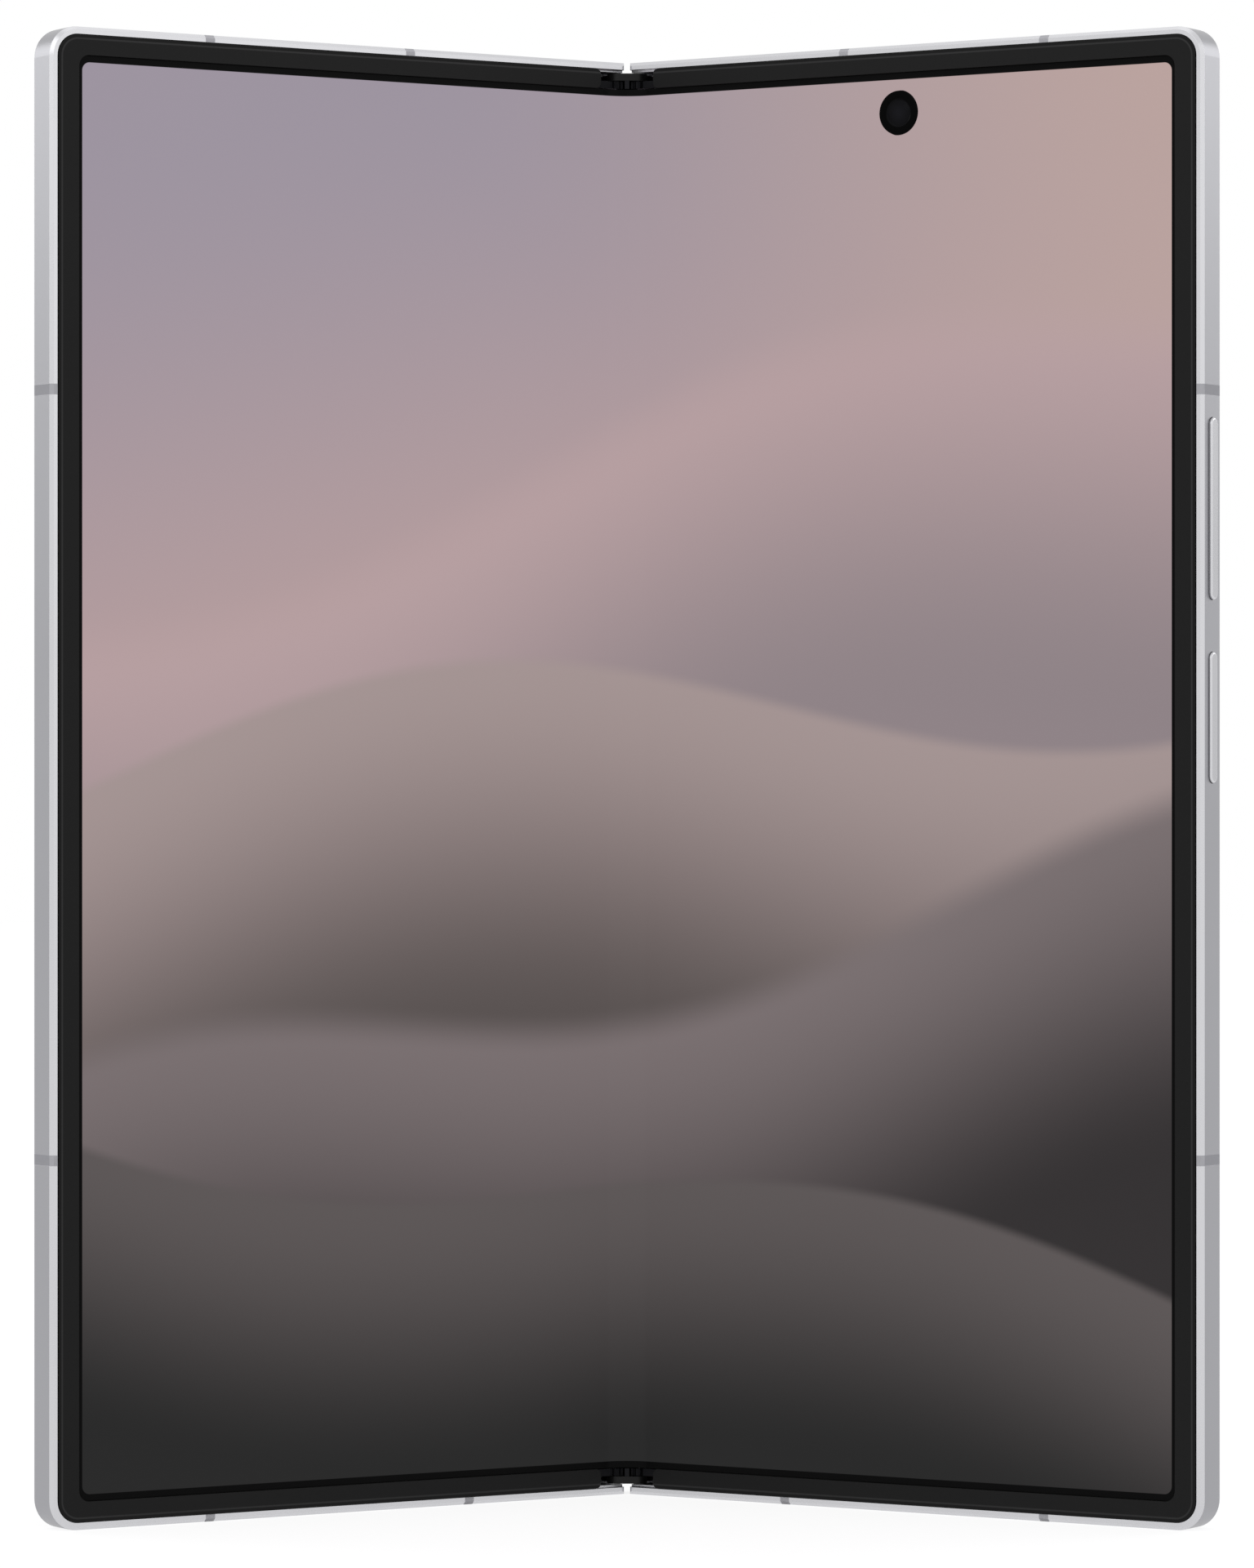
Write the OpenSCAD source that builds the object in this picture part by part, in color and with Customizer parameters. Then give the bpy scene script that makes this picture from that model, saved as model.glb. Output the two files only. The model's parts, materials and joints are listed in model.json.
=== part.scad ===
// Book-style foldable smartphone, standing half open on its short edges.
// Each half is drawn lying flat in its own frame: x runs outward from the fold line, y from the
// inner screen side (0) to the outer side, and z up the height. place_right() then swings a half
// about its hinge axis to the resting angle. The left half lies mirrored across the fold line.

/* [Body] */
// Height of the phone
body_h = 158.4; // [150:0.1:170]
// Width of one half, from the fold line to its outer side
half_w = 71.6; // [69:0.1:76]
// Thickness of one half
body_t = 4.2; // [4.2:0.05:4.6]
// Corner radius of a half, seen from the front
corner_r = 3.2; // [2.6:0.1:5]
// Opening angle at which the phone stands
open_angle = 116.4; // [60:0.1:175]

/* [Frame] */
// Width of the frame's front rim round the bezel
rim = 0.8; // [0.6:0.05:0.95]
// Thickness of the frame's wall
wall = 1.5; // [1.3:0.05:2]
// Thickness of the frame's short walls beside the hinge spine
hinge_wall = 1.05; // [1:0.01:1.1]
// Size of the bevel along the frame's edges
edge_bevel = 0.35; // [0.1:0.05:0.45]
// Distance from the fold line to the ends of the short walls
fold_end = 0.55; // [0.5:0.05:0.75]
// Radius of the short walls' front corners beside the fold
fold_end_r = 0.5; // [0.45:0.05:0.6]
// Distance from the fold line to the back strip that hides the spine when the phone is flat
strip_end = 0.2; // [0.15:0.05:0.5]
// Thickness of the back strip
strip_t = 0.75; // [0.7:0.05:0.8]
// Width of the back strip
strip_w = 2.8; // [2:0.1:4]
// Width of an antenna break in the frame
break_w = 1.1; // [0.8:0.1:1.5]
// Clearance between pieces that are fitted into each other
fit_gap = 0.05; // [0.03:0.01:0.08]

/* [Inner screen] */
// Width of the black bezel along the long outer side
bezel_side = 2.5; // [2:0.05:3]
// Width of the black bezel along the short sides
bezel_end = 2.2; // [2:0.05:2.4]
// Height of the bezel in front of the frame's front rim
bezel_raise = 0.12; // [0:0.01:0.2]
// Distance from the fold line to the bezels' ends
bezel_fold_end = 3.8; // [3.7:0.05:4.5]
// Radius of the bezels' ends
bezel_end_r = 0.6; // [0.3:0.05:0.9]
// Overlap of the bezel over the screen's edge
bezel_lap = 0.4; // [0.3:0.05:0.6]
// Depth of the screen behind the frame's front rim
screen_recess = 0.25; // [0.22:0.01:0.27]
// Thickness of the flexible screen with its backing
screen_t = 0.45; // [0.42:0.01:0.46]
// Corner radius of the screen
screen_r = 1.2; // [0.6:0.1:3]
// Distance from the fold line to where the screen is stiff
bend_half = 6.5; // [6:0.1:7]
// Radius of the bent screen's front surface in the fold
bend_r = 4.1; // [3:0.1:5]
// Diameter of the hole for the inner camera
camera_hole_d = 4.9; // [4.2:0.1:5.5]
// Distance of the inner camera from the fold line
camera_x = 34.7; // [30:0.1:38]
// Distance of the inner camera from the top
camera_drop = 7.3; // [7:0.1:10]
// Thickness of the plate that carries the screen
plate_t = 0.4; // [0.3:0.05:0.5]

/* [Hinge] */
// Gap between the two front rims when the phone is shut
shut_gap = 0.5; // [0.45:0.05:0.8]
// Depth of the hinge axes behind the front rims
axis_depth = 0.95; // [0.92:0.01:0.98]
// Outer radius of the spine's cover about each hinge axis
spine_r = 2.4; // [2.35:0.01:2.42]
// Thickness of the spine's cover
spine_t = 0.35; // [0.3:0.01:0.4]
// Distance of the spine's ends from the ends of the frames
spine_inset = 1.2; // [1.15:0.01:1.3]
// Thickness of a hinge end cap
cap_h = 0.8; // [0.6:0.05:0.9]
// Half the width of a hinge end cap
cap_half_w = 2.26; // [2.1:0.01:2.3]
// Running gap between hinge pieces, along the height
run_gap = 0.05; // [0.04:0.01:0.06]
// Length of an arm's eye on its pin
eye_l = 0.8; // [0.6:0.05:0.82]
// Module of the timing gears: pitch diameter over teeth
gear_module = 0.1; // [0.09:0.001:0.102]
// Number of teeth of the gear round an arm's eye
eye_teeth = 14; // [13:1:14]
// Number of teeth of an idler gear
idler_teeth = 12; // [11:1:12]
// Play between meshing teeth
gear_play = 0.03; // [0.02:0.002:0.05]
// Radius of the hinge pins
pin_r = 0.3; // [0.25:0.01:0.35]
// Radius of the idlers' pins
idler_pin_r = 0.2; // [0.15:0.01:0.25]
// Clearance between a pin and its eye
pin_clear = 0.02; // [0.015:0.001:0.03]
// Inner radius of a rail about the hinge axis
rail_r = 1.5; // [1.4:0.02:1.54]
// Thickness of a rail
rail_t = 0.35; // [0.25:0.01:0.38]
// Clearance between a rail and its slot
rail_clear = 0.06; // [0.05:0.01:0.08]
// Length of a rail block
rail_block_l = 10; // [6:0.5:16]
// Spacing of the rail blocks
rail_pitch = 44; // [30:1:48]
// Thickness of a hinge arm
arm_t = 0.7; // [0.5:0.05:0.75]
// Length of a hinge arm's pad
pad_l = 14; // [10:0.5:18]
// Width of a hinge arm's pad
pad_w = 6.5; // [5:0.1:8]
// Radius of a screw's head
screw_r = 0.8; // [0.6:0.05:1]

/* [Outer side] */
// Thickness of the glasses on the outer side
glass_t = 0.6; // [0.5:0.05:0.65]
// Width of the camera island
island_w = 17; // [15:0.5:18]
// Length of the camera island
island_l = 50; // [47:0.5:54]
// Distance of the island from the outer side
island_side = 2.8; // [2.2:0.1:4]
// Distance of the island from the top
island_drop = 6; // [5:0.5:10]
// Height of the camera island above the glass
island_raise = 2.2; // [1.5:0.1:2.5]
// Radius of the island's edge
island_edge = 0.4; // [0.2:0.05:0.6]
// Spacing of the rear cameras
lens_pitch = 15.4; // [14:0.1:16]
// Radius of a rear lens
lens_r = 5.2; // [4.5:0.1:5.5]
// Width of the metal ring round a rear lens
ring_w = 0.9; // [0.5:0.05:1.1]
// Height of the metal rings above the island
ring_raise = 0.45; // [0.2:0.05:0.8]
// Radius of the flash
flash_r = 1.7; // [1.2:0.1:2]

/* [Keys and ports] */
// Length of the volume key
volume_l = 19.2; // [16:0.1:24]
// Height of the volume key's centre
volume_z = 107.6; // [104:0.1:109]
// Length of the side key
side_key_l = 13.8; // [10:0.1:16]
// Height of the side key's centre
side_key_z = 85.6; // [80:0.1:88]
// Width of both keys across the frame
key_w = 1.5; // [1.2:0.05:1.8]
// Height of the volume key above the frame's side
volume_raise = 0.35; // [0.3:0.01:0.45]
// Height of the side key above the frame's side
side_key_raise = 0.3; // [0.28:0.01:0.45]
// Travel of both keys
key_travel = 0.25; // [0.15:0.01:0.27]
// Distance of the charging port from the fold line
port_x = 36; // [30:0.1:40]
// Width of the charging port's mouth
port_w = 8.9; // [8.5:0.05:9.2]
// Height of the charging port's mouth
port_h = 2.5; // [2.4:0.01:2.52]
// Depth of the charging port
port_d = 7.5; // [6:0.1:8.5]
// Wall of the charging port's shell
port_wall = 0.3; // [0.25:0.01:0.35]
// Number of holes in a speaker grille
grille_holes = 6; // [3:1:7]
// Spacing of the holes in a speaker grille
grille_pitch = 1.5; // [1.4:0.05:1.7]
// Radius of the holes in the frame for sound
hole_r = 0.5; // [0.3:0.05:0.6]
// Length of the card tray's bar
tray_w = 13; // [12:0.1:15]
// Width of the card tray's bar
bar_w = 1.8; // [1.6:0.05:2]
// Depth of the card tray
tray_d = 17.5; // [15:0.1:19]
// Thickness of the card tray
tray_t = 0.8; // [0.6:0.05:0.9]
// Distance from the outer side to the card tray's bar
tray_side = 4.1; // [3.8:0.1:4.3]
// Wall of the card reader
reader_wall = 0.25; // [0.2:0.01:0.3]

/* [Inside] */
// Thickness of the batteries
battery_t = 1.95; // [1.6:0.05:2]
// Length of the batteries
battery_l = 66; // [50:1:70]
// Height of the batteries' lower ends
battery_z = 26; // [24:0.5:28]
// Distance of the inner pieces from the fold line
inside_x = 17; // [16:0.1:18]
// Thickness of the circuit boards
board_t = 0.5; // [0.4:0.05:0.7]
// Distance from the battery's outer side to the frame's wall
battery_side = 3; // [2.5:0.1:5]
// Gap between pieces on the boards
board_gap = 1; // [0.5:0.1:2]
// Length of the two small speakers
speaker_l = 9; // [6:0.5:12]
// Size of a small camera's square body
small_camera = 6; // [5:0.1:6.4]
// Height of the shields on the boards
shield_h = 1.2; // [0.8:0.05:1.4]
// Thickness of the charging coil
coil_t = 0.3; // [0.2:0.05:0.4]
// Outer radius of the charging coil
coil_r = 22; // [18:0.5:24]
// Inner radius of the charging coil
coil_hole_r = 11; // [8:0.5:14]
// Thickness of the outer display's panel
panel_t = 0.3; // [0.2:0.05:0.4]

/* [Hidden] */
$fn = 64;

metal = [0.78, 0.78, 0.79];
dark_metal = [0.5, 0.5, 0.52];
black = [0.08, 0.08, 0.08];
board_green = [0.1, 0.25, 0.18];

eps = 0.01;
mid_y = body_t / 2;
axis_x = axis_depth + shut_gap / 2;
tilt = (180 - open_angle) / 2;
glass_y = body_t - glass_t;
plate_y = screen_recess + screen_t;
seat_y = plate_y;
inside_y = plate_y + plate_t;
strip_y = body_t - strip_t;
room_x = bend_half + 1;
screen_x1 = half_w - rim - bezel_side + bezel_lap;
screen_z0 = rim + bezel_end - bezel_lap;
screen_z1 = body_h - screen_z0;
camera_z = body_h - camera_drop;
pin_block_z = spine_inset + cap_h;
eye_z = pin_block_z + run_gap;
pin_top = eye_z + eye_l;
pin_foot = spine_inset + cap_h / 2;
arm_y = seat_y + run_gap;
arm_out = room_x + pad_w;
rail_y = plate_y + 0.1;
rail_z = [for (i = [-1, 0, 1]) body_h / 2 + i * rail_pitch];
rail_l = rail_block_l - 2;
break_z = [39, 120.1];
outer_break_x = half_w - 19;
top_break_x = [28, outer_break_x];
bottom_break_x = [20.6, outer_break_x];
tray_x = half_w - tray_side - tray_w / 2;
// the idlers mesh with each other over the fold line and each with its arm's gear
eye_pitch_r = gear_module * eye_teeth / 2;
idler_pitch_r = gear_module * idler_teeth / 2;
idler_x = idler_pitch_r;
idler_dy = sqrt((eye_pitch_r + idler_pitch_r) ^ 2 - (axis_x - idler_x) ^ 2);
idler_y = axis_depth + idler_dy;
mesh_angle = atan2(idler_dy, idler_x - axis_x);
gear_tip = 0.9 * gear_module;
gear_clear = 0.08;
island_x = half_w - island_side - island_w / 2;
island_z = body_h - island_drop - island_l / 2;
lens_z = [for (i = [-1, 0, 1]) island_z + i * lens_pitch];
island_top = body_t + island_raise;
grille_x = port_x + port_w / 2 + 1.8;
earpiece_x = port_x - 18;
// the front of the standing phone is the front edge of its sides, the back is its spine or strips
front_y = axis_depth - (half_w - axis_x) * sin(tilt) - axis_depth * cos(tilt);
back_y = axis_depth + (axis_x - strip_end) * sin(tilt) + (body_t - axis_depth) * cos(tilt);
centre_y = (front_y + back_y) / 2;

// ---------- placing ----------

module place_right() {
  translate([axis_x, axis_depth - centre_y, 0]) rotate([0, 0, -tilt])
    translate([-axis_x, -axis_depth, 0]) children();
}
module place_left() { mirror([1, 0, 0]) place_right() children(); }
module place_spine() { translate([0, -centre_y, 0]) children(); }
module both_ends() {
  children();
  translate([0, 0, body_h]) mirror([0, 0, 1]) children();
}
module both_sides() {
  children();
  mirror([1, 0, 0]) children();
}

// ---------- shared shapes ----------

// a plate of thickness t from depth y on, its outline drawn in x and z
module slab(y, t) { translate([0, y + t, 0]) rotate([90, 0, 0]) linear_extrude(t) children(); }

// a box given by its lowest and highest corners
module block(low, high) { translate(low) cube(high - low); }

// outline from x0 to x1 and z0 to z1, rounded on the outer side only
module half_outline(x0, z0, x1, z1, r) {
  translate([x0, z0]) square([x1 - x0 - r, z1 - z0]);
  translate([x0, z0 + r]) square([x1 - x0, z1 - z0 - 2 * r]);
  for (z = [z0 + r, z1 - r]) translate([x1 - r, z]) circle(r);
}

// a slot with round ends, l long along y and w wide
module pill(w, l) {
  square([w, l - w], center = true);
  for (s = [-1, 1]) translate([0, s * (l - w) / 2]) circle(w / 2);
}

// a ring band about the origin between two radii, from angle a0 to a1 (under 180 apart)
module arc_band(r0, r1, a0, a1) {
  am = (a0 + a1) / 2;
  far = 3 * r1;
  intersection() {
    difference() {
      circle(r1);
      circle(r0);
    }
    polygon([[0, 0], far * [cos(a0), sin(a0)], far * [cos(am), sin(am)], far * [cos(a1), sin(a1)]]);
  }
}

// carries a section round the three outer sides of a half; in the section x is the distance in
// from the outer side and y is the depth
module around_half(x0) {
  translate([half_w, 0, corner_r]) mirror([1, 0, 0]) linear_extrude(body_h - 2 * corner_r) children();
  both_ends() {
    translate([half_w - corner_r, 0, corner_r]) rotate([-90, 0, 0]) rotate_extrude(angle = 90)
      translate([corner_r, 0]) mirror([1, 0]) children();
    translate([x0, 0, 0]) rotate([0, 90, 0]) linear_extrude(half_w - corner_r - x0)
      mirror([1, 0]) children();
  }
}

// ---------- frames ----------

// a bevelled rail with a step for the bezel in front and a step for the glass behind
module frame_section() {
  b = edge_bevel;
  polygon([
    [b, 0], [rim, 0], [rim, seat_y], [wall, seat_y], [wall, glass_y - fit_gap],
    [rim, glass_y - fit_gap], [rim, body_t], [b, body_t], [0, body_t - b], [0, b]
  ]);
}

module break_slots() {
  for (z = break_z)
    block([half_w - wall - eps, -eps, z - break_w / 2], [half_w + eps, body_t + eps, z + break_w / 2]);
  for (x = bottom_break_x)
    block([x - break_w / 2, -eps, -eps], [x + break_w / 2, body_t + eps, wall + eps]);
  for (x = top_break_x)
    block([x - break_w / 2, -eps, body_h - wall - eps], [x + break_w / 2, body_t + eps, body_h + eps]);
}

// rounds the front corners of the short walls and makes room for the spine between them
module fold_clearance() {
  block([-1, -1, -1], [fold_end, strip_y, body_h + 1]);
  both_ends() difference() {
    block([fold_end - eps, -eps, -1], [fold_end + fold_end_r, fold_end_r, 2]);
    translate([fold_end + fold_end_r, fold_end_r, -2]) cylinder(r = fold_end_r, h = 5);
  }
  block([-1, -1, hinge_wall], [room_x, strip_y, body_h - hinge_wall]);
}

module frame_body() {
  difference() {
    union() {
      around_half(strip_end) frame_section();
      block([strip_end, strip_y, edge_bevel], [strip_end + strip_w, body_t, body_h - edge_bevel]);
    }
    fold_clearance();
    break_slots();
  }
}

module break_fillings() {
  intersection() {
    around_half(strip_end) frame_section();
    break_slots();
  }
}

// a pocket or key across the outer side, from depth x0 to x1 measured along x
module side_pill(x0, x1, z, w, l) {
  translate([x0, mid_y, z]) rotate([0, 90, 0]) rotate(90) linear_extrude(x1 - x0) pill(w, l);
}

// a pill standing on a short side, from height z0 to z1
module end_pill(x, z0, z1, w, l) {
  translate([x, mid_y, z0]) rotate(90) linear_extrude(z1 - z0) pill(w, l);
}

module sound_holes(x) {
  for (i = [0 : grille_holes - 1]) translate([x + i * grille_pitch, mid_y, -1])
    cylinder(r = hole_r, h = wall + 2);
}

module right_frame() {
  color(metal) place_right() difference() {
    frame_body();
    side_pill(half_w - wall - 1, half_w + 1, volume_z, key_w + 2 * fit_gap, volume_l + 2 * fit_gap);
    side_pill(half_w - wall - 1, half_w + 1, side_key_z, key_w + 2 * fit_gap, side_key_l + 2 * fit_gap);
    end_pill(port_x, -1, wall + 1, port_h + 2 * fit_gap, port_w + 2 * fit_gap);
    sound_holes(grille_x);
  }
}

module left_frame() {
  color(metal) place_left() difference() {
    frame_body();
    translate([0, 0, body_h]) mirror([0, 0, 1]) {
      sound_holes(earpiece_x);
      end_pill(tray_x, -1, wall + 1, bar_w + 2 * fit_gap, tray_w + 2 * fit_gap);
    }
  }
}

module right_antenna_breaks() { color([0.64, 0.64, 0.66]) place_right() break_fillings(); }
module left_antenna_breaks() { color([0.64, 0.64, 0.66]) place_left() break_fillings(); }

// ---------- screen side ----------

module plate() {
  x0 = room_x - 0.4;
  slab(plate_y, plate_t) half_outline(x0, wall, half_w - wall, body_h - wall, corner_r);
}

module right_mid_plate() {
  color(dark_metal) place_right() difference() {
    plate();
    translate([camera_x, 0, camera_z]) rotate([-90, 0, 0]) cylinder(d = camera_hole_d + 1, h = body_t);
    block([port_x - port_w / 2 - 0.3, 0, 0], [port_x + port_w / 2 + 0.3, body_t, port_d + 0.3]);
  }
}
module left_mid_plate() { color(dark_metal) place_left() plate(); }

// the bezel's outline with its inner edge moved out by grow, and its ends rounded at the fold
module bezel_outline(grow) {
  edge = rim + fit_gap;
  difference() {
    half_outline(bezel_fold_end, edge, half_w - edge, body_h - edge, corner_r - edge);
    translate([-1, 0]) half_outline(0, rim + bezel_end - grow, half_w - rim - bezel_side + grow + 1,
      body_h - rim - bezel_end + grow, screen_r);
    for (s = [0, 1]) translate([bezel_fold_end, s * body_h]) mirror([0, s])
      for (t = [0, 1]) translate([0, t ? rim + bezel_end : edge]) mirror([0, t]) difference() {
        translate([-eps, -eps]) square(bezel_end_r + eps);
        translate([bezel_end_r, bezel_end_r]) circle(bezel_end_r);
      }
  }
}

// a thin lip that laps over the screen, on a foot beside the screen
module bezel() {
  slab(-bezel_raise, bezel_raise + screen_recess - 0.02) bezel_outline(0);
  slab(screen_recess - 0.02, seat_y - screen_recess + 0.02) bezel_outline(bezel_lap + fit_gap);
}
module right_bezel() { color(black) place_right() bezel(); }
module left_bezel() { color(black) place_left() bezel(); }

module screen_panel() {
  slab(screen_recess, screen_t) half_outline(bend_half, screen_z0, screen_x1, screen_z1, screen_r);
}
module right_screen() {
  color([0.65, 0.58, 0.58]) place_right() difference() {
    screen_panel();
    translate([camera_x, -1, camera_z]) rotate([-90, 0, 0]) cylinder(d = camera_hole_d, h = body_t);
  }
}
module left_screen() { color([0.65, 0.58, 0.58]) place_left() screen_panel(); }

// the bent part of the screen: an arc in the fold and a straight piece to each stiff panel
bend_y = axis_depth - (bend_half - axis_x) * sin(tilt) - (axis_depth - screen_recess) * cos(tilt);
bend_x = axis_x + (bend_half - axis_x) * cos(tilt) - (axis_depth - screen_recess) * sin(tilt);
bend_run = (bend_x - bend_r * sin(tilt)) / cos(tilt);
bend_centre = bend_y + bend_run * sin(tilt) - bend_r * cos(tilt);
bend_steps = 16;
// its front or back, from the left stiff panel to the right one: depth is 0 or the thickness
function run_end(depth) = [
  bend_x - 2 * eps * cos(tilt) + depth * sin(tilt),
  bend_y + 2 * eps * sin(tilt) + depth * cos(tilt)
];
function fold_side(depth) = [
  [-run_end(depth).x, run_end(depth).y],
  for (i = [0:bend_steps]) let (a = tilt * (2 * i / bend_steps - 1))
    [(bend_r + depth) * sin(a), bend_centre + (bend_r + depth) * cos(a)],
  run_end(depth)
];
function backwards(points) = [for (i = [len(points) - 1:-1:0]) points[i]];
module fold_screen() {
  z0 = rim + bezel_end;
  color([0.6, 0.54, 0.54]) place_spine() translate([0, 0, z0]) linear_extrude(body_h - 2 * z0)
    polygon(concat(fold_side(0), backwards(fold_side(screen_t))));
}

module inner_camera_window() {
  color([0.05, 0.05, 0.06]) place_right() translate([camera_x, screen_recess + 0.05, camera_z])
    rotate([-90, 0, 0]) cylinder(d = camera_hole_d - 2 * fit_gap, h = 0.3);
}
module inner_camera() {
  color([0.1, 0.1, 0.12]) place_right() translate([camera_x, 0, camera_z]) rotate([-90, 0, 0]) {
    translate([0, 0, screen_recess + 0.35]) cylinder(r = 1.9, h = 1.5);
    translate([-small_camera / 2, -small_camera / 2, inside_y + 0.1]) cube([small_camera, small_camera, 1.6]);
  }
}

// ---------- hinge ----------

module at_axis(z) { translate([axis_x, axis_depth, z]) children(); }

// angle by which an involute has turned where it reaches radius r from the base circle
function involute(base, r) = let(a = acos(min(1, base / r))) tan(a) * 180 / PI - a;

// outline of a spur gear with involute flanks; a tooth points along x
module gear(teeth) {
  pitch_r = gear_module * teeth / 2;
  base = pitch_r * cos(20);
  root = pitch_r - 1.15 * gear_module;
  half_tooth = 90 / teeth - gear_play / 2 / pitch_r * 180 / PI + involute(base, pitch_r);
  radii = [root, base, (base + pitch_r) / 2 + 0.01, pitch_r + gear_tip / 2, pitch_r + gear_tip];
  flank = [for (q = radii) [q, half_tooth - (q > base ? involute(base, q) : 0)]];
  back = [for (i = [len(flank) - 1 : -1 : 0]) [flank[i][0], -flank[i][1]]];
  tooth = [for (q = back) [q[0], -q[1]]];
  points = [for (k = [0 : teeth - 1]) each [
    for (i = [0 : len(flank) - 1]) let (a = k * 360 / teeth - flank[i][1])
      flank[i][0] * [cos(a), sin(a)],
    for (q = tooth) q[0] * [cos(k * 360 / teeth + q[1]), sin(k * 360 / teeth + q[1])]
  ]];
  polygon(points);
}

// the right half's gears take a shift of 0 and the left half's one of half a tooth, so they mesh
module idler(shift) {
  turn = mesh_angle + 180 + (0.5 - shift) * 360 / idler_teeth;
  translate([idler_x, idler_y, eye_z]) difference() {
    linear_extrude(eye_l) rotate(turn) gear(idler_teeth);
    translate([0, 0, -1]) cylinder(r = idler_pin_r + pin_clear, h = eye_l + 2);
  }
}
module right_idler_gears() { color("goldenrod") place_spine() both_ends() idler(0); }
module left_idler_gears() { color("goldenrod") place_spine() mirror([1, 0, 0]) both_ends() idler(0.5); }

// a geared eye on its stub pin, a web under the bezel and a pad on the back of the plate
module end_arm(shift) {
  difference() {
    union() {
      at_axis(eye_z) linear_extrude(eye_l) rotate(mesh_angle + tilt + shift * 360 / eye_teeth)
        gear(eye_teeth);
      block([axis_x, arm_y, eye_z], [arm_out, arm_y + arm_t, eye_z + eye_l]);
      block([room_x, inside_y, eye_z], [arm_out, inside_y + arm_t, eye_z + pad_l]);
    }
    at_axis(0) cylinder(r = pin_r + pin_clear, h = pin_top + 1);
    for (z = [5, pad_l - 2]) translate([arm_out - 2, 0, eye_z + z]) rotate([-90, 0, 0])
      cylinder(r = screw_r / 2, h = body_t);
    block([room_x - 1, 0, wall], [half_w, inside_y, body_h / 2]);
  }
}
module hinge_arms(shift) { both_ends() end_arm(shift); }
module right_hinge_arms() { color(metal) place_right() hinge_arms(0); }
module left_hinge_arms() { color(metal) place_left() hinge_arms(0.5); }

module arm_screws() {
  both_ends() for (z = [5, pad_l - 2]) translate([arm_out - 2, inside_y, eye_z + z])
    rotate([-90, 0, 0]) {
      cylinder(r = screw_r / 2 - 0.01, h = arm_t);
      translate([0, 0, arm_t]) difference() {
        cylinder(r = screw_r, h = 0.35);
        for (a = [0, 90]) rotate(a) translate([-screw_r * 0.6, -0.09, 0.15]) cube([screw_r * 1.2, 0.18, 1]);
      }
    }
}
module right_arm_screws() { color(dark_metal) place_right() arm_screws(); }
module left_arm_screws() { color(dark_metal) place_left() arm_screws(); }

// a rail curved about the hinge axis, which runs in the spine's slot, on a web to the plate
rail_back = 104;
web_back = axis_depth + 0.45;
module rail_arms() {
  for (z = rail_z) {
    at_axis(z - rail_l / 2) linear_extrude(rail_l) arc_band(rail_r, rail_r + rail_t, -4, rail_back);
    block([axis_x + rail_r + 0.1, rail_y, z - rail_l / 2], [room_x, web_back, z + rail_l / 2]);
    block([room_x - 1, inside_y, z - rail_l / 2], [arm_out, inside_y + arm_t, z + rail_l / 2]);
  }
}
module rail_arms_seated() {
  difference() {
    rail_arms();
    block([room_x - 0.4, 0, wall], [half_w, inside_y, body_h - wall]);
  }
}
module right_rail_arms() { color(metal) place_right() rail_arms_seated(); }
module left_rail_arms() { color(metal) place_left() rail_arms_seated(); }

spine_in = spine_r - spine_t;

// the section inside the spine's rounded cover
module spine_section(r) {
  both_sides() translate([axis_x, axis_depth]) circle(r);
  translate([-axis_x, axis_depth - r]) square([2 * axis_x, 2 * r]);
}
// the cover's sides end where the back strips hide them and the arms pass in front
cover_from = 20;
module spine_cover() {
  color([0.3, 0.3, 0.31]) place_spine() translate([0, 0, spine_inset])
    linear_extrude(body_h - 2 * spine_inset) {
      translate([-axis_x, axis_depth + spine_in]) square([2 * axis_x, spine_t]);
      both_sides() translate([axis_x, axis_depth]) arc_band(spine_in, spine_r, cover_from, 90);
    }
}
module spine_bar() {
  color(dark_metal) place_spine() difference() {
    block([-axis_x, axis_depth + spine_in - 0.3, pin_top + run_gap],
      [axis_x, axis_depth + spine_in, body_h - pin_top - run_gap]);
    for (z = rail_z) block([-5, 0, z - rail_block_l / 2], [5, 5, z + rail_block_l / 2]);
  }
}

module hinge_pins() {
  color(metal) place_spine() both_ends() both_sides()
  {
    at_axis(pin_foot) cylinder(r = pin_r, h = pin_top - pin_foot);
    translate([idler_x, idler_y, pin_foot]) cylinder(r = idler_pin_r, h = pin_top - pin_foot);
  }
}

module cap_section() {
  front_r = 1.4;
  intersection() {
    spine_section(spine_in);
    union() {
      translate([-cap_half_w, 0.03 + front_r]) square([2 * cap_half_w, 4]);
      translate([-cap_half_w + front_r, 0.03]) square([2 * (cap_half_w - front_r), 4]);
      both_sides() translate([cap_half_w - front_r, 0.03 + front_r]) circle(front_r);
    }
  }
}
module hinge_end_caps() {
  color(black) place_spine() both_ends() difference() {
    translate([0, 0, spine_inset]) linear_extrude(cap_h) cap_section();
    both_sides() {
      at_axis(pin_foot) cylinder(r = pin_r, h = cap_h);
      translate([idler_x, idler_y, pin_foot]) cylinder(r = idler_pin_r, h = cap_h);
    }
  }
}
bridge_w = 0.5;
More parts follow.
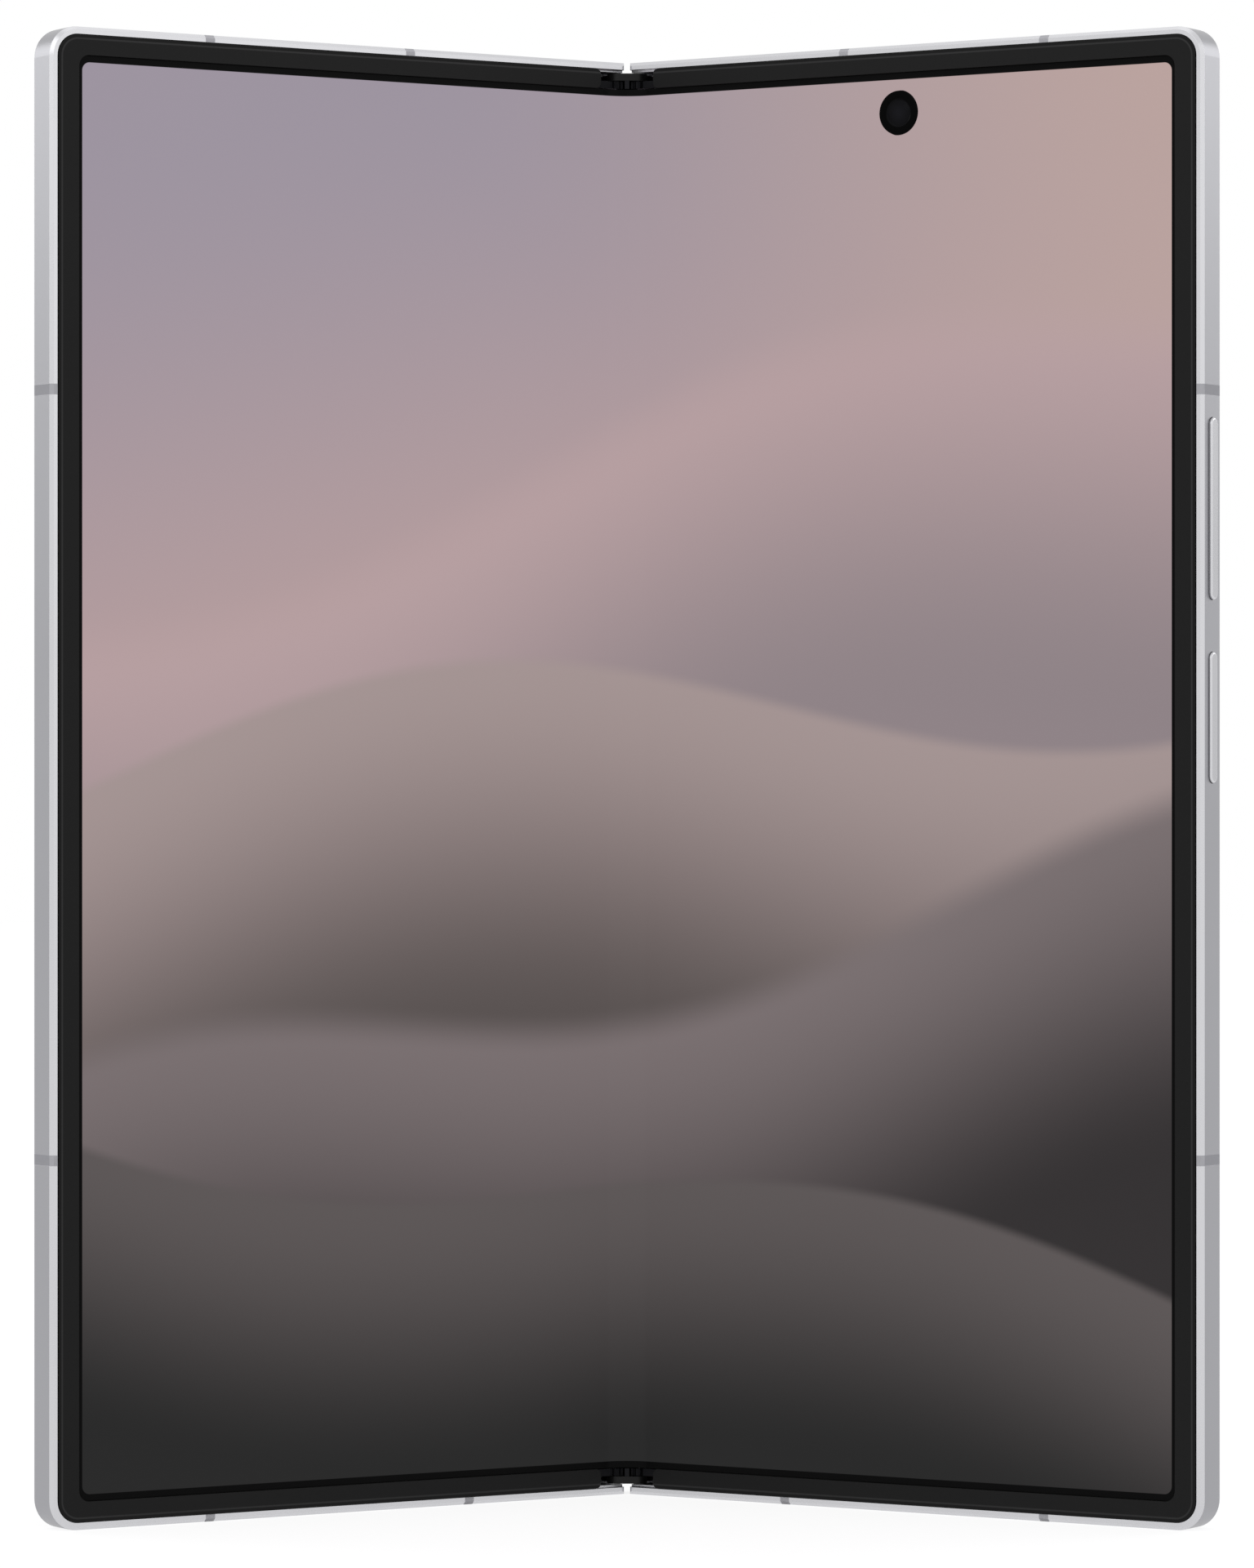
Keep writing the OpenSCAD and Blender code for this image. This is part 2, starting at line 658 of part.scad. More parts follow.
// the bridge between the eyes and the block behind them, with a pocket for the gears
module hinge_pin_blocks() {
  color(dark_metal) place_spine() both_ends() translate([0, 0, pin_block_z])
    linear_extrude(pin_top + run_gap - pin_block_z) {
      difference() {
        intersection() {
          spine_section(spine_in);
          union() {
            translate([-bridge_w / 2, 0.1]) square([bridge_w, 1.9]);
            translate([-cap_half_w, web_back + 0.15]) square([2 * cap_half_w, 3]);
          }
        }
        both_sides() {
          translate([axis_x, axis_depth]) circle(eye_pitch_r + gear_tip + gear_clear);
          translate([idler_x, idler_y]) circle(idler_pitch_r + gear_tip + gear_clear);
        }
      }
    }
}
module hinge_rail_blocks() {
  color(dark_metal) place_spine() for (z = rail_z) translate([0, 0, z - rail_block_l / 2])
    linear_extrude(rail_block_l) difference() {
      intersection() {
        spine_section(spine_in);
        translate([-5, web_back + 0.15]) square([10, 5]);
      }
      both_sides() translate([axis_x, axis_depth])
        arc_band(rail_r - rail_clear, rail_r + rail_t + rail_clear, -10, rail_back + 4);
      // the screen sinks in here when the phone is shut
      translate([-0.9, 0]) square([1.8, axis_depth + 1.2]);
    }
}

// ---------- outer side ----------

module outer_glass() {
  edge = rim + fit_gap;
  slab(glass_y, glass_t)
    half_outline(strip_end + strip_w + fit_gap, edge, half_w - edge, body_h - edge, corner_r - edge);
}
module island_outline(grow) {
  translate([island_x, island_z]) pill(island_w + 2 * grow, island_l + 2 * grow);
}

module right_back_glass() {
  color([0.75, 0.75, 0.76]) place_right() difference() {
    outer_glass();
    slab(glass_y - 1, glass_t + 2) island_outline(fit_gap);
  }
}
module cover_glass() {
  color([0.06, 0.06, 0.07]) place_left() outer_glass();
}
module cover_display() {
  color([0.03, 0.03, 0.03]) place_left() difference() {
    slab(glass_y - panel_t, panel_t)
      half_outline(room_x, wall + 0.5, half_w - wall - 0.5, body_h - wall - 0.5, corner_r);
    translate([port_x, 0, camera_z]) rotate([-90, 0, 0]) cylinder(r = 2.3, h = body_t);
  }
}
module cover_camera() {
  color([0.1, 0.1, 0.12]) place_left() translate([port_x, 0, camera_z]) rotate([-90, 0, 0]) {
    translate([-small_camera / 2, -small_camera / 2, inside_y]) cube([small_camera, small_camera, 1.6]);
    cylinder_from(inside_y + 1.6, glass_y, 2);
  }
}
module cylinder_from(z0, z1, r) { translate([0, 0, z0]) cylinder(r = r, h = z1 - z0); }
module at_lens(i) { translate([island_x, 0, lens_z[i]]) rotate([-90, 0, 0]) children(); }

module camera_island() {
  step = island_edge;
  color([0.72, 0.72, 0.73]) place_right() difference() {
    union() {
      slab(glass_y, island_top - step - glass_y) island_outline(0);
      slab(island_top - step - eps, step + eps) island_outline(-step);
      slab(glass_y - 0.3, 0.3) island_outline(0.6);
    }
    for (i = [0 : 2]) at_lens(i) cylinder(r = lens_r, h = island_top + 1);
    translate([island_x, 0, island_z + lens_pitch / 2]) rotate([-90, 0, 0])
      cylinder(r = flash_r, h = island_top + 1);
  }
}
module rear_camera_modules() {
  color([0.15, 0.15, 0.16]) place_right() for (i = [0 : 2]) at_lens(i) {
    translate([-5.5, -5.5, inside_y]) cube([11, 11, 1.7]);
    cylinder_from(inside_y + 1.7, island_top - 1.2, lens_r - 0.8);
  }
}
module lens_rings() {
  color(metal) place_right() for (i = [0 : 2]) at_lens(i) difference() {
    cylinder_from(island_top, island_top + ring_raise, lens_r + ring_w);
    cylinder_from(0, island_top + 5, lens_r);
  }
}
module rear_lenses() {
  color([0.05, 0.06, 0.08]) place_right() for (i = [0 : 2]) at_lens(i)
    cylinder_from(island_top - 1.2, island_top + ring_raise - 0.1, lens_r - 0.02);
}
module flash_lens() {
  color([0.95, 0.92, 0.8]) place_right() translate([island_x, 0, island_z + lens_pitch / 2])
    rotate([-90, 0, 0]) cylinder_from(glass_y - 0.3, island_top - 0.05, flash_r - 0.02);
}

// ---------- keys and ports ----------

key_in = wall - 0.2;
module volume_key() {
  color(metal) place_right() side_pill(half_w - key_in, half_w + volume_raise, volume_z, key_w, volume_l);
}
module side_key() {
  color(metal) place_right()
    side_pill(half_w - key_in, half_w + side_key_raise, side_key_z, key_w, side_key_l);
}
// a strip behind both keys, with a sprung dome that each key presses and tabs on the wall
module key_flex() {
  strip_x = half_w - wall - 0.7;
  dome_h = half_w - key_in - key_travel - fit_gap - strip_x;
  top = volume_z + volume_l / 2 + 1;
  low = side_key_z - side_key_l / 2 - 1;
  color([0.5, 0.3, 0.12]) place_right() {
    block([strip_x - 0.2, mid_y - 0.7, low], [strip_x + eps, mid_y + 0.7, top]);
    for (z = [volume_z + volume_l / 3, volume_z - volume_l / 3, side_key_z])
      translate([strip_x, mid_y, z]) rotate([0, 90, 0]) cylinder(r = 0.6, h = dome_h);
    for (z = [low, top - 0.6]) block([strip_x, mid_y - 0.7, z], [half_w - wall, mid_y + 0.7, z + 0.6]);
  }
}

module usb_port() {
  color(metal) place_right() {
    difference() {
      end_pill(port_x, 0.25, port_d, port_h, port_w);
      end_pill(port_x, -1, port_d - 0.5, port_h - 2 * port_wall, port_w - 2 * port_wall);
    }
    block([port_x - port_w / 2 + 1.5, mid_y - 0.35, 0.9],
      [port_x + port_w / 2 - 1.5, mid_y + 0.35, port_d - 0.4]);
  }
}
module bottom_board() {
  color(board_green) place_right()
    block([inside_x, inside_y, port_d], [grille_x - 2, inside_y + board_t, battery_z - 3]);
}
module bottom_speaker() {
  color(black) place_right() block([grille_x - 1.5, inside_y, wall],
    [grille_x + grille_holes * grille_pitch + 3, inside_y + 2, battery_z - 6]);
}
module vibration_motor() {
  color(metal) place_right() block([inside_x + 1, inside_y + board_t, port_d + 2],
    [inside_x + 11, inside_y + board_t + 1.4, port_d + 10]);
}

// the bar, the plate with its two card pockets, one above the other
module card_tray() {
  top = body_h - 0.02;
  color(metal) place_left() {
    end_pill(tray_x, body_h - wall + 0.2, top, bar_w, tray_w);
    difference() {
      block([tray_x - tray_w / 2 + 0.8, mid_y - tray_t / 2, body_h - tray_d],
        [tray_x + tray_w / 2 - 0.8, mid_y + tray_t / 2, body_h - wall + 0.3]);
      block([tray_x - tray_w / 2 + 1.6, mid_y - tray_t / 2 + 0.25, body_h - tray_d + 1],
        [tray_x + tray_w / 2 - 1.6, mid_y + tray_t, body_h - wall - 1]);
    }
  }
}
module card_reader() {
  x0 = tray_x - tray_w / 2 + 0.6;
  x1 = tray_x + tray_w / 2 - 0.6;
  half_t = bar_w / 2 + 0.1;
  color(dark_metal) place_left() difference() {
    block([x0 - reader_wall, inside_y, body_h - tray_d - 1],
      [x1 + reader_wall, mid_y + half_t + reader_wall - 0.15, body_h - wall]);
    block([x0, mid_y - tray_t / 2 - 0.2, body_h - tray_d - 0.5], [x1, mid_y + tray_t / 2 + 0.2, body_h]);
  }
}

// ---------- inside ----------

battery_x1 = half_w - wall - battery_side;
module battery() {
  block([inside_x, inside_y, battery_z], [battery_x1, inside_y + battery_t, battery_z + battery_l]);
}
module right_battery() { color([0.12, 0.12, 0.13]) place_right() battery(); }
module left_battery() { color([0.12, 0.12, 0.13]) place_left() battery(); }

board_z = battery_z + battery_l + 2 * board_gap;
// two shields share the board's length below the inner camera
shields_top = camera_z - small_camera / 2 - board_gap;
shield_l = (shields_top - board_z - board_gap) / 2 - board_gap / 2;
board_x1 = island_x - island_w / 2 - 1;
module main_board() {
  color(board_green) place_right() difference() {
    block([inside_x, inside_y, board_z], [board_x1, inside_y + board_t, body_h - wall - 0.5]);
    cut = small_camera / 2 + 0.2;
    block([camera_x - cut, 0, camera_z - cut], [camera_x + cut, body_t, body_h]);
  }
}
module board_shields() {
  color([0.7, 0.7, 0.72]) place_right() for (z = [board_z + board_gap, shields_top - shield_l])
    block([inside_x + board_gap, inside_y + board_t, z],
      [board_x1 - board_gap, inside_y + board_t + shield_h, z + shield_l]);
}
module charging_coil() {
  color([0.75, 0.45, 0.25]) place_right()
    translate([(inside_x + battery_x1) / 2, glass_y - coil_t, battery_z + battery_l / 2])
    rotate([-90, 0, 0]) difference() {
      cylinder(r = coil_r, h = coil_t);
      translate([0, 0, -1]) cylinder(r = coil_hole_r, h = coil_t + 2);
    }
}
module left_board() {
  color(board_green) place_left()
    block([inside_x, inside_y, board_z], [battery_x1, inside_y + board_t, body_h - tray_d - 3 * board_gap]);
}
module left_shields() {
  color([0.7, 0.7, 0.72]) place_left() block([inside_x + board_gap, inside_y + board_t, board_z + board_gap],
    [battery_x1 - board_gap, inside_y + board_t + shield_h, body_h - tray_d - 4 * board_gap]);
}
module earpiece_speaker() {
  color(black) place_left() block([earpiece_x - 2, inside_y, body_h - wall - speaker_l],
    [earpiece_x + grille_holes * grille_pitch + 1, inside_y + 2, body_h - wall]);
}

// ---------- the pieces ----------

right_frame();
right_antenna_breaks();
right_mid_plate();
right_bezel();
right_screen();
right_back_glass();
right_hinge_arms();
right_arm_screws();
right_rail_arms();
right_battery();
main_board();
board_shields();
usb_port();
bottom_board();
bottom_speaker();
vibration_motor();
charging_coil();
inner_camera();
inner_camera_window();
camera_island();
rear_camera_modules();
lens_rings();
rear_lenses();
flash_lens();
key_flex();
volume_key();
side_key();
left_frame();
left_antenna_breaks();
left_mid_plate();
left_bezel();
left_screen();
cover_glass();
cover_display();
cover_camera();
left_hinge_arms();
left_arm_screws();
left_rail_arms();
left_battery();
left_board();
left_shields();
earpiece_speaker();
card_reader();
card_tray();
spine_cover();
spine_bar();
hinge_pins();
hinge_end_caps();
hinge_pin_blocks();
hinge_rail_blocks();
right_idler_gears();
left_idler_gears();
fold_screen();
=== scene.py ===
import json
import math
import bmesh
import bpy
import numpy as np
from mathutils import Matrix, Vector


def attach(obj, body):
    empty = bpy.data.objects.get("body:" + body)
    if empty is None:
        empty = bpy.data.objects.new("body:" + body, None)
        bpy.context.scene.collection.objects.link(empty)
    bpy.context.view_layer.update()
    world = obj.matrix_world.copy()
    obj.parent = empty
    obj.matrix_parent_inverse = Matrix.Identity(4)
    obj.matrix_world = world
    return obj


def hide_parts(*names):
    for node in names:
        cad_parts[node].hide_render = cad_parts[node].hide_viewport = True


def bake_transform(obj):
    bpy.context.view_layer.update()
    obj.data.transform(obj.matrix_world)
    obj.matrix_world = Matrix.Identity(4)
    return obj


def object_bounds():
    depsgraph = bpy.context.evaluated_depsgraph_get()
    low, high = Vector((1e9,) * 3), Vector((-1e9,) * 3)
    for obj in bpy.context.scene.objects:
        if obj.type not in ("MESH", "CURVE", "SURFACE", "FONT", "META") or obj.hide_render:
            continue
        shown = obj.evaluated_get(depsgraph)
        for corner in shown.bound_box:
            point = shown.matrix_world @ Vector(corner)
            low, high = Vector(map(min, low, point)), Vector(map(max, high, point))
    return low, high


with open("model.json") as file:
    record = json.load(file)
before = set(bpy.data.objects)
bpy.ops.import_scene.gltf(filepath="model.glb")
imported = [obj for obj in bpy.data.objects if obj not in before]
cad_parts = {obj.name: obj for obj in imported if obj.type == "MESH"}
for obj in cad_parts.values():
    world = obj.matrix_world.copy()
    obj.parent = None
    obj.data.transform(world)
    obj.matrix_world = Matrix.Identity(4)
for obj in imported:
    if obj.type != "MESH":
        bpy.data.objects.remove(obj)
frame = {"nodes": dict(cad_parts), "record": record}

cad_box = [list(map(float, corner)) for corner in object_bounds()]

# ---- The camera ----
# The phone is seen square on, from about 0.73 m in front of its fold and from half its height.
# The hinge axes, the resting angle and the height come from the frame.
MM = 0.001
joints = {joint["name"]: joint for joint in frame["record"]["behaviour"]["joints"]}
HINGE_X, HINGE_Y = joints["right_hinge"]["pos_m"][:2]
TILT = math.radians(joints["right_hinge"]["range_deg"][1])
PHONE_H = cad_box[1][2] - cad_box[0][2]
VIEW_DISTANCE = 0.7346
VIEW_DROP = 0.0006
FOCAL_LENGTH, SENSOR_H = 152.3, 36
CLIP_START = 0.01
camera_data = bpy.data.cameras.new("camera")
camera_data.sensor_fit = "VERTICAL"
camera_data.sensor_height = SENSOR_H
camera_data.lens = FOCAL_LENGTH
camera_data.clip_start = CLIP_START
camera = bpy.data.objects.new("camera", camera_data)
camera.location = (0, HINGE_Y - VIEW_DISTANCE, PHONE_H / 2 - VIEW_DROP)
camera.rotation_euler = (math.pi / 2, 0, 0)
bpy.context.collection.objects.link(camera)
bpy.context.scene.camera = camera


# ---- The frames ----
# The rail round each half is milled from one piece of aluminium, blasted to a fine satin and
# anodised silver. Its bevels are cut last and polished. They, and the faces that lean towards the
# screen, are given a lighter colour as a painted highlight.
class Wire:
    """A shader socket that takes part in Python arithmetic; each operation adds a Math node."""

    def __init__(self, tree, socket):
        self.tree, self.socket = tree, socket

    def math(self, operation, *values):
        return add_node(self.tree, "ShaderNodeMath", dict(operation=operation), *values)[0]

    def __add__(self, other):
        return self.math("ADD", self, other)

    def __radd__(self, other):
        return self.math("ADD", other, self)

    def __sub__(self, other):
        return self.math("SUBTRACT", self, other)

    def __rsub__(self, other):
        return self.math("SUBTRACT", other, self)

    def __mul__(self, other):
        return self.math("MULTIPLY", self, other)

    def __rmul__(self, other):
        return self.math("MULTIPLY", other, self)

    def __truediv__(self, other):
        return self.math("DIVIDE", self, other)

    def alone(self, operation):
        """A Math operation on this value alone, such as SINE or ABSOLUTE."""
        return self.math(operation, self)

    def at_least(self, low):
        return self.math("MAXIMUM", self, low)

    def clamp(self):
        return self.math("MINIMUM", self, 1.0).at_least(0.0)

    def step(self, low, high):
        """0 below low, 1 above high, and smooth between."""
        node = dict(interpolation_type="SMOOTHSTEP")
        return add_node(self.tree, "ShaderNodeMapRange", node, self, low, high, 0.0, 1.0)[0]


def add_node(tree, kind, settings, *values, **named):
    """Adds a node, applies its settings, fills its inputs with values or links, returns its outputs."""
    node = tree.nodes.new(kind)
    for key, value in settings.items():
        setattr(node, key, value)
    named_inputs = [(node.inputs[key.replace("_", " ")], value) for key, value in named.items()]
    for target, value in list(zip(node.inputs, values)) + named_inputs:
        if isinstance(value, Wire):
            tree.links.new(value.socket, target)
        elif value is not None:
            target.default_value = (*value, 1.0) if target.type == "RGBA" and len(value) == 3 else value
    return [Wire(tree, output) for output in node.outputs]


def linear(hexcode):
    """Turns a six-digit sRGB colour into the linear values that shaders use."""
    srgb = [int(hexcode[i:i + 2], 16) / 255 for i in (0, 2, 4)]
    return tuple(c / 12.92 if c <= 0.04045 else ((c + 0.055) / 1.055) ** 2.4 for c in srgb)


class Finish:
    """A Principled material: constants go on the shader's own sockets, links through link()."""

    def __init__(self, name, **constants):
        self.material = bpy.data.materials.new(name)
        self.material.use_nodes = True
        self.tree = self.material.node_tree
        self.shader = self.tree.nodes["Principled BSDF"]
        for key, value in constants.items():
            socket = self.shader.inputs[key.replace("_", " ")]
            socket.default_value = (*value, 1.0) if socket.type == "RGBA" else value

    def node(self, kind, settings=None, *values, **named):
        return add_node(self.tree, kind, settings or {}, *values, **named)

    def place(self):
        """The Object coordinates, in metres."""
        return self.node("ShaderNodeTexCoord")[3]

    def noise(self, scale, detail=3.0, place=None):
        """Noise between 0 and 1, whose scale counts its swells to the metre."""
        return self.node("ShaderNodeTexNoise", Vector=place or self.place(), Scale=scale, Detail=detail)[0]

    def mix(self, mask, first, second):
        """The colour first where mask is 0, second where it is 1, and mixed between."""
        return self.node("ShaderNodeMix", dict(data_type="RGBA"), mask, None, None, None, None, None,
                         first, second)[2]

    def link(self, **wires):
        for key, wire in wires.items():
            self.tree.links.new(wire.socket, self.shader.inputs[key.replace("_", " ")])
        return self

    def bump(self, height, strength, distance):
        """Tips the surface by a height between 0 and 1, which stands for distance in metres."""
        normal = self.node("ShaderNodeBump", {}, strength, distance, Height=height)[0]
        return self.link(Normal=normal)


SPECK_SCALE, CLOUD_SCALE = 9000.0, 60.0


def anodised(name, colour, roughness):
    """Blasted aluminium: a satin metal whose gloss varies in fine specks and slow clouds. Where the
    clouds are thin its colour is 6 per cent darker."""
    finish = Finish(name, Metallic=1.0, IOR=1.45)
    specks = finish.noise(SPECK_SCALE)
    clouds = finish.noise(CLOUD_SCALE, 2.0)
    finish.link(Roughness=roughness - 0.06 + specks * 0.06 + clouds * 0.06)
    dark = tuple(c * 0.94 for c in colour)
    finish.link(Base_Color=finish.mix(clouds, dark, colour))
    return finish.bump(specks, 0.05, 0.00002)


def smooth_by_angle(mesh, limit):
    """Shades faces smooth and keeps the edges sharp that turn by more than the limit, in degrees."""
    mesh.shade_smooth()
    mesh.set_sharp_from_angle(angle=math.radians(limit))


BEVEL_LEAN = 0.3


def leans_inwards(normals, side):
    """Marks the faces that lean towards the screen. World normals are turned back to the flat half's
    directions, with side 1 for the right half, and then point against its thickness, y."""
    flat_y = normals[:, 0] * side * math.sin(TILT) + normals[:, 1] * math.cos(TILT)
    return flat_y < -BEVEL_LEAN


SHARP_TURN, FLAT_TURN, CAD_WELD = 25, 1.0, 1e-6


def softened(node, finish, width, segments=2, edge=None, edge_on_bevels=False):
    """Stands a copy of a CAD node in its place, with every sharp edge rounded by width, in mm, and
    shown in the finish edge, a lighter finish that paints a highlight there. The CAD faces that lean
    inwards share this painted highlight with edge_on_bevels."""
    mesh = frame["nodes"][node].data.copy()
    mesh.name = node + "_finished"
    work = bmesh.new()
    work.from_mesh(mesh)
    bmesh.ops.remove_doubles(work, verts=work.verts, dist=CAD_WELD)
    bmesh.ops.dissolve_limit(work, angle_limit=math.radians(FLAT_TURN), verts=work.verts, edges=work.edges)
    work.to_mesh(mesh)
    work.free()
    mesh.materials.clear()
    mesh.materials.append(finish.material)
    if edge:
        mesh.materials.append(edge.material)
    # faces that lean towards the screen, the front rim among them, take the lighter edge finish: a painted
    # highlight
    if edge_on_bevels:
        normals = np.empty(len(mesh.polygons) * 3, dtype=np.float32)
        mesh.polygons.foreach_get("normal", normals)
        marks = leans_inwards(normals.reshape(-1, 3), -1 if node.startswith("left") else 1)
        mesh.polygons.foreach_set("material_index", marks.astype(np.int32))
    piece = bpy.data.objects.new(node + "_finished", mesh)
    bpy.context.collection.objects.link(piece)
    smooth_by_angle(mesh, SHARP_TURN)
    if width:
        bevel = piece.modifiers.new("edges", "BEVEL")
        bevel.width, bevel.segments, bevel.limit_method = width * MM, segments, "ANGLE"
        bevel.angle_limit, bevel.harden_normals = math.radians(SHARP_TURN), True
        # the bevel's new faces take the lighter edge finish, a painted highlight
        bevel.material = 1 if edge else 0
    bodies = frame["record"]["behaviour"]["bodies"]
    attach(piece, next(body for body, nodes in bodies.items() if node in nodes))
    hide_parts(node)


# The edge finish is lighter than the satin one: a painted highlight on the bevels and the faces that lean
# towards the screen. Only its lower roughness is real polish.
silver = anodised("anodised_silver", linear("9E9EA2"), 0.34)
polish_and_painted_highlight = anodised("polished_edge", linear("CECED1"), 0.28)
for side in ("left", "right"):
    softened(side + "_frame", silver, 0.12, 3, edge=polish_and_painted_highlight, edge_on_bevels=True)


# ---- The antenna breaks ----
# Strips of grey plastic part the metal, so that the antennas inside can send. They are moulded
# into slots, then milled flush and chamfered with the rail. Their faces that lean towards the screen
# are given a lighter grey, a painted highlight.
def speckled(name, scale, dark, light, **constants):
    """A material whose colour varies from dark to light in specks of one scale."""
    finish = Finish(name, **constants)
    return finish.link(Base_Color=finish.mix(finish.noise(scale), linear(dark), linear(light)))


break_grey = speckled("antenna_grey", 4000.0, "9E9EA3", "A8A8AD",
                      Roughness=0.5, IOR=1.5, Specular_IOR_Level=0.3)
break_painted_highlight = speckled("antenna_light", 4000.0, "BEBEC2", "C6C6CA",
                       Roughness=0.4, IOR=1.5, Specular_IOR_Level=0.3)
for side in ("left", "right"):
    softened(side + "_antenna_breaks", break_grey, 0, edge=break_painted_highlight, edge_on_bevels=True)

# ---- The bezels ----
# Black moulded rims, glued over the edge of the screen and rounded off at the fold. A thin lighter
# line, a painted highlight, runs round them a little in from the outer edge, and the band outside
# it is painted pure black, a painted shade.
HALF_W, BODY_H = 71.6, PHONE_H / MM
RIM, CORNER_R, FIT_GAP = 0.8, 3.2, 0.05
HIGHLIGHT_LINE_START, HIGHLIGHT_LINE_END, HIGHLIGHT_LINE_BLUR = 0.30, 0.48, 0.08


def flat_place(finish):
    """The distance from the fold on the flat half, and the height, in mm: the turn to the resting
    angle is undone for the half that a point lies on."""
    x, y, z = finish.node("ShaderNodeSeparateXYZ", {}, finish.place())
    from_axis = (x.alone("ABSOLUTE") - HINGE_X) * math.cos(TILT) - (y - HINGE_Y) * math.sin(TILT)
    return (from_axis + HINGE_X) / MM, z / MM


def inside(across, up, side_edge, end_edge, middle, radius):
    """The distance in from the edge of an outline with rounded corners, at most its radius: the
    radius less the distance from the line that runs one radius within the outline. end_edge is the
    outline's lowest point and middle its half height."""
    corner_u = (radius - (side_edge - across.alone("ABSOLUTE"))).at_least(0.0)
    corner_v = (radius - (middle - end_edge - (up - middle).alone("ABSOLUTE"))).at_least(0.0)
    return radius - (corner_u * corner_u + corner_v * corner_v).alone("SQRT")


bezel_black = Finish("bezel_black", Roughness=0.45, IOR=1.45, Specular_IOR_Level=0.2)
bezel_edge = RIM + FIT_GAP
depth_in = inside(*flat_place(bezel_black), HALF_W - bezel_edge, bezel_edge, BODY_H / 2,
                  CORNER_R - bezel_edge)
plain = bezel_black.mix(bezel_black.noise(3000.0), linear("080808"), linear("0E0E0E"))
# painted highlight: a lighter line from about 0.3 to 0.5 mm in from the outer edge; painted shade: pure
# black in the outermost 0.3 mm
painted_highlight_line = bezel_black.mix(depth_in.step(HIGHLIGHT_LINE_END, HIGHLIGHT_LINE_END + HIGHLIGHT_LINE_BLUR), linear("303030"), plain)
painted_shade_mask = depth_in.step(HIGHLIGHT_LINE_START, HIGHLIGHT_LINE_START + HIGHLIGHT_LINE_BLUR)
bezel_black.link(Base_Color=bezel_black.mix(painted_shade_mask, (0.0, 0.0, 0.0), painted_highlight_line))
bezel_black.bump(bezel_black.noise(12000.0), 0.06, 0.00001)
for side in ("left", "right"):
    softened(side + "_bezel", bezel_black, 0.13)

# ---- The inner screen ----
# One bendable sheet of thin glass and film, glued over both halves and bent round the fold. Its lit
# picture of soft dunes ends at a printed black border, and a hole is punched in it for the camera.
AXIS_DEPTH = 0.95 * MM
BEZEL_SIDE, BEZEL_END, BEZEL_LAP, BEZEL_FOLD_END = 2.5, 2.2, 0.4, 3.85
SCREEN_RECESS, SCREEN_T = 0.25, 0.45
BEND_HALF, BEND_R = 6.5, 4.1
BORDER_SIDE, BORDER_END, PICTURE_R, PICTURE_UNIT = 0.5, 0.7, 0.9, 100
HOLE_R, HOLE_X, HOLE_Z, HOLE_MARGIN, HOLE_CLEAR = 2.45, 34.7, BODY_H - 7.3, 1.2, 0.1
BEND_COLUMNS, PANEL_COLUMNS, SCREEN_ROWS = 25, 24, 40
HOLE_CUTS, HOLE_RINGS = 16, (0, 0.25, 0.6, 1)
BLEND_Z = 80.0
hinge_x, hinge_depth = HINGE_X / MM, AXIS_DEPTH / MM
# where the stiff panel ends, in the spine's own x and depth
reach, rise = BEND_HALF - hinge_x, hinge_depth - SCREEN_RECESS
bend_x = hinge_x + reach * math.cos(TILT) - rise * math.sin(TILT)
bend_y = hinge_depth - reach * math.sin(TILT) - rise * math.cos(TILT)
# the bent strip's two stretches, straight and arc, and the depth of the arc's centre
straight = (bend_x - BEND_R * math.sin(TILT)) / math.cos(TILT)
arc = BEND_R * TILT
arc_centre = bend_y + straight * math.sin(TILT) - BEND_R * math.cos(TILT)


def to_world(points, side):
    """Swings points of a flat half, in mm, about its hinge axis to the resting angle, in metres: x
    and y, measured from the axis, are turned by the tilt, and side, 1 or -1, mirrors x."""
    x, y, z = (points[..., i] * MM for i in range(3))
    turned_x = HINGE_X + (x - HINGE_X) * math.cos(TILT) + (y - AXIS_DEPTH) * math.sin(TILT)
    turned_y = HINGE_Y - (x - HINGE_X) * math.sin(TILT) + (y - AXIS_DEPTH) * math.cos(TILT)
    return np.stack([turned_x * side, turned_y, z], axis=-1)


def screen_front(along, height, side):
    """World points of the screen's front. along is the flat distance from the fold in mm: an arc
    about a centre in front of the fold, then a straight run to the stiff panel, then the panel."""
    bent = np.clip(along * (arc + straight) / BEND_HALF, 0, None)
    angle = np.clip(bent, 0, arc) / BEND_R
    run = np.clip(bent - arc, 0, None)
    x = BEND_R * np.sin(angle) + run * math.cos(TILT)
    y = arc_centre + BEND_R * np.cos(angle) - run * math.sin(TILT)
    soft = np.stack([x * side * MM, HINGE_Y + (y - hinge_depth) * MM, height * MM], axis=-1)
    stiff = to_world(np.stack([along, np.full_like(along, SCREEN_RECESS), height], axis=-1), side)
    return np.where((along < BEND_HALF)[..., None], soft, stiff)


def sheet_faces(rows, columns, close_columns=False):
    """The quads of a grid of points that are listed row by row. Each joins a point and its right
    neighbour to the two in the next row; close_columns joins the last column to the first."""
    i = np.arange(rows - 1)[:, None]
    j = np.arange(columns if close_columns else columns - 1)[None, :]
    row, next_row, right = i * columns, (i + 1) * columns, (j + 1) % columns
    return np.stack([row + j, row + right, next_row + right, next_row + j], axis=-1).reshape(-1, 4)


